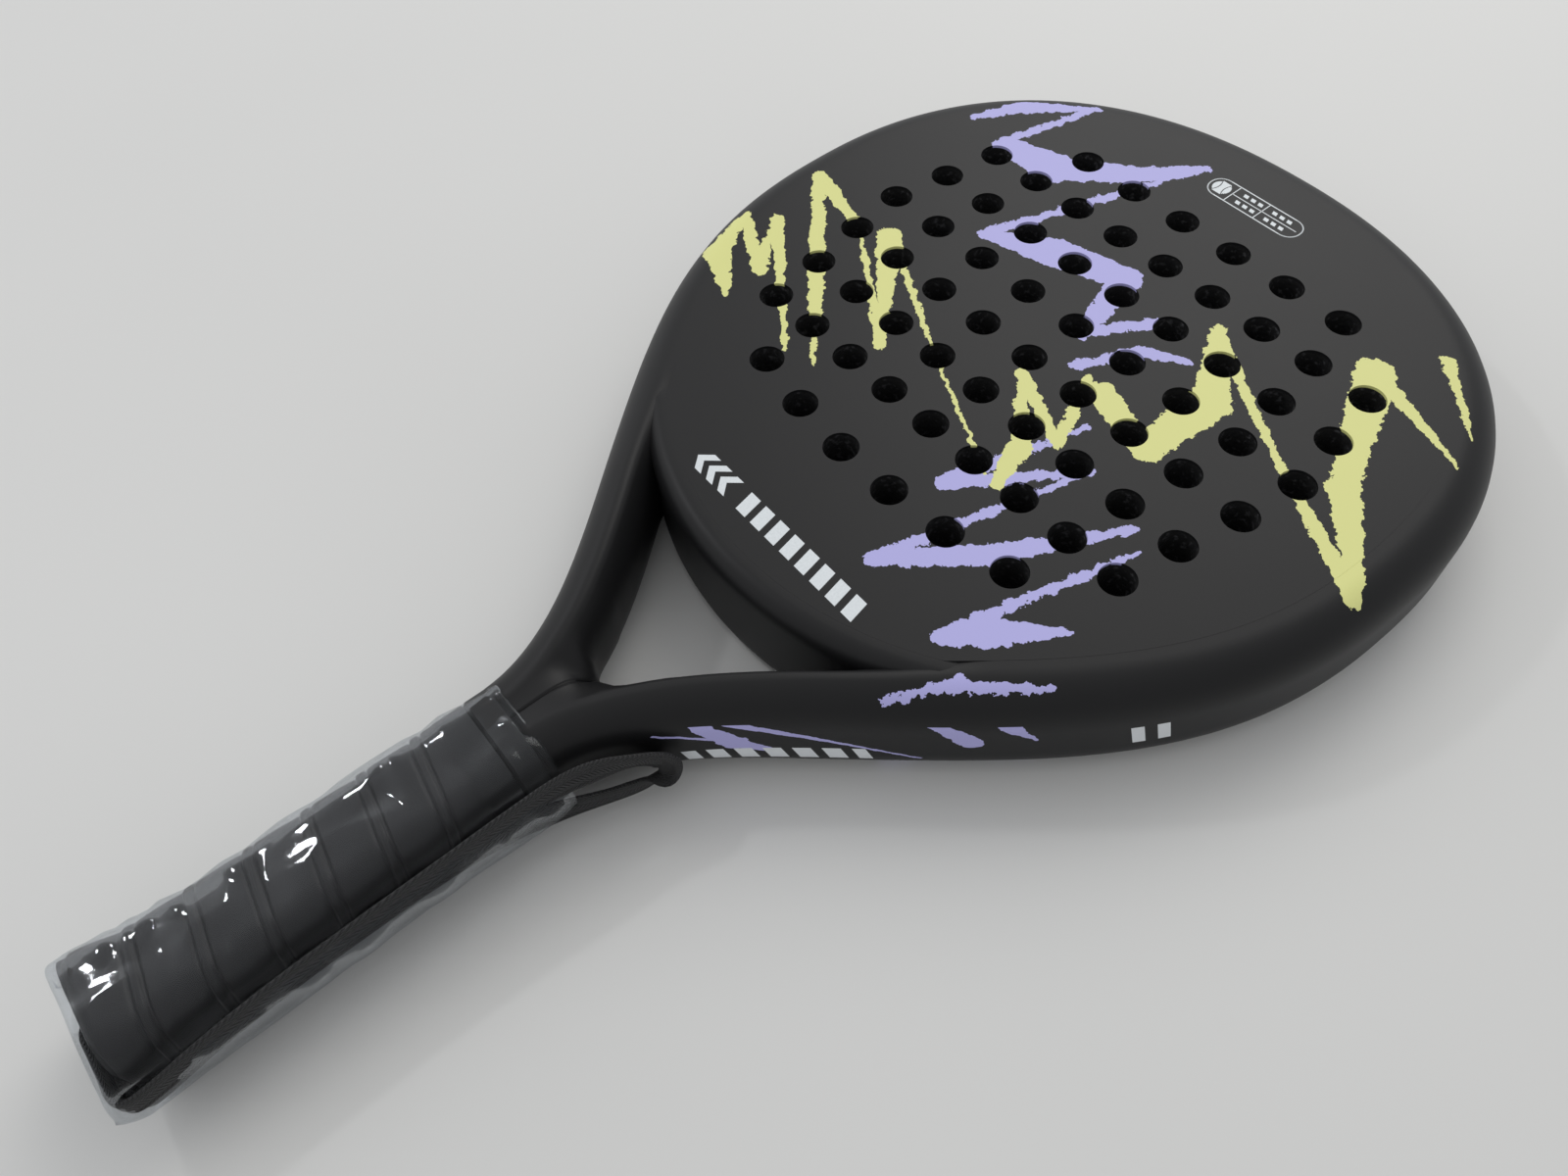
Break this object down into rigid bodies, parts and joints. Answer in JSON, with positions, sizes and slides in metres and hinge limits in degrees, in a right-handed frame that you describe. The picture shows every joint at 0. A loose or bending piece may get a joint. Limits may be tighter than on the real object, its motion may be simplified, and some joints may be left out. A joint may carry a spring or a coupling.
{
  "type": "padel racket",
  "caption": "Round-headed padel racket with a drilled foam face, open throat, taped grip, wrist cord and a clear film sleeve over the grip.",
  "frame": {"origin": "on the surface the racket lies on, under the middle of its length and width", "axes": "+X from the butt to the tip of the head, +Y across the face, +Z out of the front face"},
  "size_m": [0.455, 0.256, 0.038],
  "materials": {
    "lacquered_laminate": "matt black lacquer over carbon and glass laminate",
    "eva_foam": "closed-cell EVA foam, drilled",
    "frame_laminate": "matt black lacquer over carbon and glass laminate",
    "filler_foam": "rigid polyurethane foam",
    "pallet_foam": "moulded polyurethane",
    "cap_plastic": "moulded polypropylene",
    "tack_steel": "plated wire",
    "cushion_foam": "foam base grip",
    "grip_tape": "smooth synthetic leather tape",
    "finishing_tape": "adhesive vinyl band",
    "collar_rubber": "moulded rubber",
    "cord_braid": "flat polyester braid",
    "clear_film": "clear polypropylene film"
  },
  "bodies": {
    "root": {"front_face_skin": "lacquered_laminate", "back_face_skin": "lacquered_laminate", "foam_core": "eva_foam", "frame_tube": "frame_laminate", "bridge_shell": "frame_laminate", "bridge_foam": "filler_foam", "throat_filler": "filler_foam", "stem_filler": "filler_foam", "handle_pallet_front": "pallet_foam", "handle_pallet_back": "pallet_foam", "butt_cap": "cap_plastic", "butt_cap_tacks": "tack_steel", "grip_cushion": "cushion_foam", "grip_tape": "grip_tape", "grip_finishing_tape": "finishing_tape", "grip_collar": "collar_rubber", "wrist_cord": "cord_braid", "cord_knot": "cord_braid"},
    "sleeve": {"film_sleeve": "clear_film"}
  },
  "joints": [
    {"name": "sleeve_slide", "type": "slide", "parent": "root", "child": "sleeve", "axis": [-1, 0, 0], "range_m": [0, 0.132]}
  ]
}
